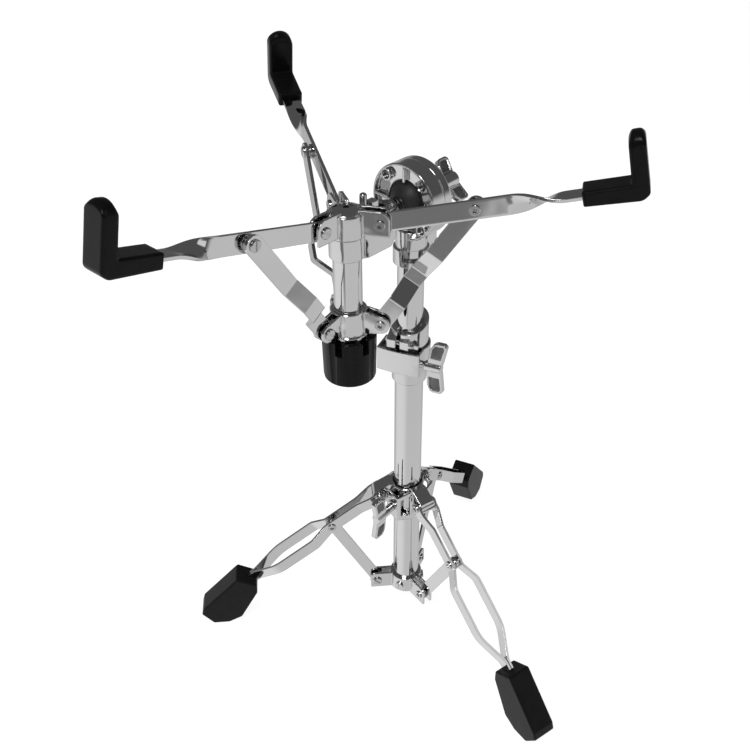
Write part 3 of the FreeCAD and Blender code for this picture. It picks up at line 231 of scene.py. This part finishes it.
# finishes: metal, shine and edge radius are the same all over; noise stirs tone, roughness and bump
finishes = {
    "chrome_tube": {"tone": (0.57, 0.57, 0.575), "metal": 1.0, "rough": (0.03, 0.07), "grain": 60.0,
                    "bump": 0.0, "swell": 0.0, "edge": 0.0003, "shine": 0.5, "mottle": 0.04},
    "chrome_strap": {"tone": (0.57, 0.57, 0.575), "metal": 1.0, "rough": (0.04, 0.09), "grain": 80.0,
                     "bump": 0.0, "swell": 0.0002, "edge": 0.0006, "shine": 0.5, "mottle": 0.05},
    "chrome_casting": {"tone": (0.56, 0.56, 0.565), "metal": 1.0, "rough": (0.05, 0.11), "grain": 70.0,
                       "bump": 0.03, "swell": 0.0008, "edge": 0.0016, "shine": 0.5, "mottle": 0.06},
    "plated_fastener": {"tone": (0.50, 0.50, 0.505), "metal": 1.0, "rough": (0.10, 0.20), "grain": 300.0,
                        "bump": 0.0, "swell": 0.0, "edge": 0.0004, "shine": 0.5, "mottle": 0.10},
    "knurled_plate": {"tone": (0.20, 0.20, 0.205), "metal": 1.0, "rough": (0.16, 0.32), "grain": 500.0,
                      "bump": 0.0, "swell": 0.0, "edge": 0.0, "shine": 0.5, "mottle": 0.35},
    "pad_rubber": {"tone": (0.004, 0.004, 0.0045), "metal": 0.0, "rough": (0.14, 0.22), "grain": 900.0,
                   "bump": 0.02, "swell": 0.0003, "edge": 0.0024, "shine": 0.11, "mottle": 0.25},
    "foot_rubber": {"tone": (0.006, 0.006, 0.006), "metal": 0.0, "rough": (0.30, 0.42), "grain": 900.0,
                    "bump": 0.05, "swell": 0.0003, "edge": 0.0026, "shine": 0.13, "mottle": 0.25},
    "knob_plastic": {"tone": (0.004, 0.004, 0.004), "metal": 0.0, "rough": (0.20, 0.30), "grain": 600.0,
                     "bump": 0.03, "swell": 0.0, "edge": 0.0012, "shine": 0.12, "mottle": 0.20},
    "dark_nylon": {"tone": (0.018, 0.018, 0.019), "metal": 0.0, "rough": (0.35, 0.60), "grain": 220.0,
                   "bump": 0.08, "swell": 0.0, "edge": 0.0003, "shine": 0.3, "mottle": 0.30},
}
# shared by all finishes: fine grain, clouds so many times wider, slow swell of cast or bent metal
surface = {"grainDetail": 4.0, "grainDepth": 0.001, "cloudWider": 8, "cloudDetail": 2.0,
           "cloudEdges": (0.35, 0.75), "swellScale": 45.0, "swellDetail": 1.0, "edgeSamples": 6}


def makeFinish(name, spec):
    mat = bpy.data.materials.new(name)
    mat.use_nodes = True
    tree = mat.node_tree
    tree.nodes.clear()
    start = Sock(tree)
    place = start.make("TexCoord", out="Object")
    noise = start.make("TexNoise", links={"Vector": place, "Scale": spec["grain"],
                                          "Detail": surface["grainDetail"]})
    cloud = start.make("TexNoise", links={"Vector": place, "Scale": spec["grain"] / surface["cloudWider"],
                                          "Detail": surface["cloudDetail"]})
    worn = tuple(c * (1 - spec["mottle"]) for c in spec["tone"])
    tone = start.make("Mix", {"data_type": "RGBA"},
                      {"Factor": cloud.step(*surface["cloudEdges"]), "A": spec["tone"] + (1.0,),
                       "B": worn + (1.0,)}, out="Result")
    soft = start.make("Bevel", {"samples": surface["edgeSamples"]}, {"Radius": spec["edge"]})
    if spec["swell"]:
        wave = start.make("TexNoise", links={"Vector": place, "Scale": surface["swellScale"],
                                             "Detail": surface["swellDetail"]})
        soft = start.make("Bump", links={"Height": wave, "Strength": 1.0, "Distance": spec["swell"],
                                         "Normal": soft})
    if spec["bump"]:
        soft = start.make("Bump", links={"Height": noise, "Strength": spec["bump"],
                                         "Distance": surface["grainDepth"], "Normal": soft})
    low, high = spec["rough"]
    shade = start.make("BsdfPrincipled", links={"Base Color": tone, "Metallic": spec["metal"], "Normal": soft,
                                                "Specular IOR Level": spec["shine"],
                                                "Roughness": low + noise * (high - low)})
    start.make("OutputMaterial", links={"Surface": shade})
    return mat


materials = {name: makeFinish(name, spec) for name, spec in finishes.items()}
for part in frame["record"]["subparts"]:
    mesh = nodes[part["node"]].data
    mesh.materials.clear()
    mesh.materials.append(materials[part["material_slot"]])


# wing screws: end is from the pivot to the barrel's end, lean turns the lobes about the screw,
# neck is where the bare neck begins and its length
wingScrews = {
    "collar_screw_turn": {"end": 0.0131, "half": 0.0250, "lean": 0.0,
                          "neck": (-0.0127, 0.0070), "shank": 0.0040},
    "clamp_screw_turn": {"end": 0.0001, "half": 0.0255, "lean": -10.0,
                         "neck": (-0.0207, 0.0040), "shank": 0.0034},
    "tilter_screw_turn": {"end": 0.0133, "half": 0.0215, "lean": -41.7,
                          "neck": (-0.0165, 0.0030), "shank": 0.0040}}
# sunk panel of a lobe: its two edges as (share of the half span, offset from the barrel's end)
knurl = {"innerEdge": ((0.40, -0.0112), (0.74, -0.0100), (0.87, -0.0072)),
         "outerEdge": ((0.40, -0.0012), (0.82, 0.0011), (0.87, -0.0001)),
         "floor": 0.0023, "sink": 0.0002, "depth": 0.0005, "pitch": 0.0013, "rows": 56, "cols": 48}
thread = {"pitch": 0.00125, "depth": 0.00042, "rootShare": 0.9, "perTurn": 10, "around": 40}


# from 0 up to 1 and back over each unit of u
def zigzag(u):
    return 1 - np.abs(2 * (u - np.floor(u)) - 1)


# a wing screw's pivot, then its axis, the way its faces look and the way its lobes point
def screwFrame(joint, lean):
    axis = np.array(joint["axis"], float)
    axis /= np.linalg.norm(axis)
    up = np.array((0.0, 0.0, 1.0))
    flat = np.cross(up, axis)
    lobe = math.cos(math.radians(lean)) * up - math.sin(math.radians(lean)) * flat
    return np.array(joint["pos_m"], float), axis, np.cross(lobe, axis), lobe


# knurled panel: diamonds, the lower of two crossed zigzags, over a grid between the panel's two edges
def knurlPanel(spot, axis, side, lobe, spec, way, face):
    share = np.linspace(knurl["innerEdge"][0][0], knurl["innerEdge"][-1][0], knurl["rows"])
    inner = np.interp(share, *np.transpose(knurl["innerEdge"]))
    outer = np.interp(share, *np.transpose(knurl["outerEdge"]))
    t = np.linspace(0.0, 1.0, knurl["cols"])
    x = inner[:, None] + (outer - inner)[:, None] * t
    z = np.repeat((share * spec["half"])[:, None], knurl["cols"], axis=1)
    high = np.minimum(zigzag((x + z) / knurl["pitch"]), zigzag((x - z) / knurl["pitch"])) * knurl["depth"]
    high[0], high[-1] = -knurl["sink"], -knurl["sink"]
    x = np.hstack([x, x[:, -1:], x[:, :1]])
    z = np.hstack([z, z[:, -1:], z[:, :1]])
    high = np.hstack([high, np.full((knurl["rows"], 2), -knurl["sink"])])
    grid = (spot + (spec["end"] + x)[..., None] * axis + (way * z)[..., None] * lobe
            + (face * (knurl["floor"] + high))[..., None] * side)
    return grid[::-1] if way * face > 0 else grid


# each point of a profile becomes a circle in the plane across the axis
def roundPath(centre, axis, across, along, radius, turns):
    angle = np.linspace(0.0, 2 * np.pi, turns, endpoint=False)
    third = np.cross(axis, across)
    spokes = np.cos(angle)[:, None] * across + np.sin(angle)[:, None] * third
    return centre + along[:, :, None] * axis + radius[:, :, None] * spokes[None]


# thread: radius rises by a zigzag that climbs one pitch for each turn, closed into the shank at both ends
def neckThread(spot, axis, side, spec):
    begin, long = spec["neck"]
    rows = int(long / thread["pitch"] * thread["perTurn"])
    along = np.repeat(np.linspace(begin, begin + long, rows)[:, None], thread["around"], axis=1)
    turn = np.linspace(0.0, 1.0, thread["around"], endpoint=False)
    radius = spec["shank"] + thread["depth"] * zigzag(along / thread["pitch"] - turn)
    root = spec["shank"] * thread["rootShare"]
    radius[0], radius[-1] = root, root
    return roundPath(spot, axis, side, along, radius, thread["around"])


def buildWingDetail():
    for joint in frame["joints"]:
        if joint["name"] in wingScrews:
            spec, body = wingScrews[joint["name"]], joint["child"]
            spot, axis, side, lobe = screwFrame(joint, spec["lean"])
            for way, end in ((1, "up"), (-1, "low")):
                for face, letter in ((1, "A"), (-1, "B")):
                    grid = knurlPanel(spot, axis, side, lobe, spec, way, face)
                    panel = gridMesh("%s_knurl_%s%s" % (body, end, letter), grid, materials["knurled_plate"],
                                     closeCols=True)
                    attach(panel, body)
            sleeve = gridMesh(body + "_thread", neckThread(spot, axis, side, spec),
                              materials["plated_fastener"], closeCols=True)
            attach(sleeve, body)


buildWingDetail()
print("wing screws knurled and threaded")

# basket arms, metres along the arm from its pivot: a smooth skin over the strap's quarter twist
armForm = {"rise": 14.0, "from": 0.0048, "to": 0.1640, "twist": (0.1040, 0.1500), "halfThick": 0.0015,
           "halfWide": 0.0082, "skin": 0.00012, "corner": 0.0006, "rows": 161, "perCorner": 5, "perSide": 7}
# rubber pads: side outline corners as (along, up, corner cut) in millimetres, tip to top on each side
padForm = {"tip": (162.5, -0.1), "top": (206.6, 44.8),
           "outer": ((162.5, -6.4, 1.8), (206.4, -8.0, 3.0), (212.4, -3.4, 2.6), (213.0, 41.6, 2.4),
                     (210.0, 44.8, 1.8)),
           "inner": ((162.5, 6.2, 1.8), (185.0, 6.2, 1.0), (199.5, 6.2, 1.0), (200.3, 39.8, 3.0),
                     (203.2, 44.8, 2.0)),
           "halfWide": 11.4, "edge": 2.2, "shoulder": 33.4, "trough": (4.9, 5.5), "troughEnd": 196.5,
           "troughTop": -1.0, "rows": 61, "perPart": 7}
perMetre = 1000


# from 0 to 1 with a level start and end
def eased(u):
    u = np.clip(u, 0.0, 1.0)
    return u * u * (3 - 2 * u)


# frame of an arm at rest: pivot, then directions along the strap, across it and up from it
def armFrame(joint):
    across = -np.array(joint["axis"], float)
    across /= np.linalg.norm(across)
    up = np.array((0.0, 0.0, 1.0))
    out = np.cross(across, up)
    rise = math.radians(armForm["rise"])
    along = math.cos(rise) * out + math.sin(rise) * up
    return np.array(joint["pos_m"], float), along, across, np.cross(along, across)


# rounded oblong loop, anticlockwise, with points along its long sides
def oblong(halfY, halfZ, corner):
    turn = np.linspace(0.0, math.pi / 2, armForm["perCorner"])
    y, z = halfY - corner + corner * np.cos(turn), halfZ - corner + corner * np.sin(turn)
    side = np.linspace(z[0], -z[0], armForm["perSide"] + 2)[1:-1]
    loopY = np.concatenate([y, -y[::-1], np.full(len(side), -halfY), -y, y[::-1], np.full(len(side), halfY)])
    loopZ = np.concatenate([z, z[::-1], side, -z, -z[::-1], side[::-1]])
    return loopY, loopZ


# twisted strap: the oblong turned a quarter turn along the twist, by a smooth step
def armSkin(name, joint):
    spot, along, across, up = armFrame(joint)
    x = np.linspace(armForm["from"], armForm["to"], armForm["rows"])
    x = np.concatenate([x[:1], x, x[-1:]])[:, None]
    begin, end = armForm["twist"]
    angle = math.pi / 2 * eased((x - begin) / (end - begin))
    loopY, loopZ = oblong(armForm["halfThick"] + armForm["skin"], armForm["halfWide"] + armForm["skin"],
                          armForm["corner"])
    y = loopY * np.cos(angle) - loopZ * np.sin(angle)
    z = loopY * np.sin(angle) + loopZ * np.cos(angle)
    y[[0, -1]], z[[0, -1]] = 0.0, 0.0
    grid = spot + x[..., None] * along + y[..., None] * across + z[..., None] * up
    return gridMesh(name, grid, materials["chrome_strap"], closeCols=True)


# outline of corners cut by parabolas: for each run, the second half of the corner behind it, the straight,
# then the first half of the corner ahead
def cutCorners(begin, corners, end):
    points = np.array([begin] + [c[:2] for c in corners] + [end], float)
    cuts = [0.0] + [c[2] for c in corners] + [0.0]
    half = np.linspace(0.0, 0.5, padForm["perPart"])[:, None]
    line = []
    for k in range(len(points) - 1):
        a, b = points[k], points[k + 1]
        step = (b - a) / np.linalg.norm(b - a)
        away, near = a + step * cuts[k], b - step * cuts[k + 1]
        if k:
            back = a - (a - points[k - 1]) / np.linalg.norm(a - points[k - 1]) * cuts[k]
            t = half + 0.5
            line.append((1 - t) ** 2 * back + 2 * t * (1 - t) * a + t * t * away)
        line.append(away + (near - away) * np.linspace(0.0, 1.0, padForm["perPart"] + 2)[1:-1, None])
        if k < len(points) - 2:
            onward = b + (points[k + 2] - b) / np.linalg.norm(points[k + 2] - b) * cuts[k + 1]
            line.append(((1 - half) ** 2 * near + 2 * half * (1 - half) * b + half * half * onward)[:-1])
    return np.vstack(line)


# pad: the outline carried across the width, drawn in by a quarter circle at both edges, with a half-round
# top and a trough underneath
def padSkin(name, joint):
    spot, along, across, up = armFrame(joint)
    outer = cutCorners(padForm["tip"], padForm["outer"], padForm["top"])
    inner = cutCorners(padForm["tip"], padForm["inner"], padForm["top"])
    loop = np.vstack([outer, inner[::-1]])
    ahead = np.roll(loop, -1, axis=0) - np.roll(loop, 1, axis=0)
    ahead /= np.linalg.norm(ahead, axis=1)[:, None]
    inward = np.stack([-ahead[:, 1], ahead[:, 0]], axis=1)
    halfWide, edge = padForm["halfWide"], padForm["edge"]
    y = halfWide * np.sin(np.linspace(-math.pi / 2, math.pi / 2, padForm["rows"]))
    past = np.clip(np.abs(y) - (halfWide - edge), 0.0, edge)
    draw = edge - np.sqrt(edge ** 2 - past ** 2)
    flat = loop[None] + draw[:, None, None] * inward[None]
    middle = (flat[:1] + flat[:1, ::-1]) / 2
    flat = np.concatenate([middle, flat, middle])
    y = np.concatenate([y[:1], y, y[-1:]])[:, None]
    x, z = flat[..., 0], flat[..., 1]
    crown = np.sqrt(np.clip(1 - (y / halfWide) ** 2, 0.0, 1.0))
    z = np.where(z > padForm["shoulder"], padForm["shoulder"] + (z - padForm["shoulder"]) * crown, z)
    low, high = padForm["trough"]
    under = (1 - eased((np.abs(y) - low) / (high - low))) * ((z < 0) & (x < padForm["troughEnd"]))
    z = z + (padForm["troughTop"] - z) * under
    y = np.repeat(y, x.shape[1], axis=1)
    grid = spot + (x[..., None] * along + y[..., None] * across + z[..., None] * up) / perMetre
    return gridMesh(name, grid[::-1], materials["pad_rubber"], closeCols=True)


def buildBasketSkins():
    for joint in frame["joints"]:
        if joint["name"].startswith("arm_"):
            skin = armSkin(joint["child"] + "_twist_skin", joint)
            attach(skin, joint["child"])
            padNode = joint["child"].replace("arm", "pad")
            pad = padSkin(padNode + "_skin", joint)
            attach(pad, joint["child"])
            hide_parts(padNode)


buildBasketSkins()
print("arm twists and pads skinned")

print("done")
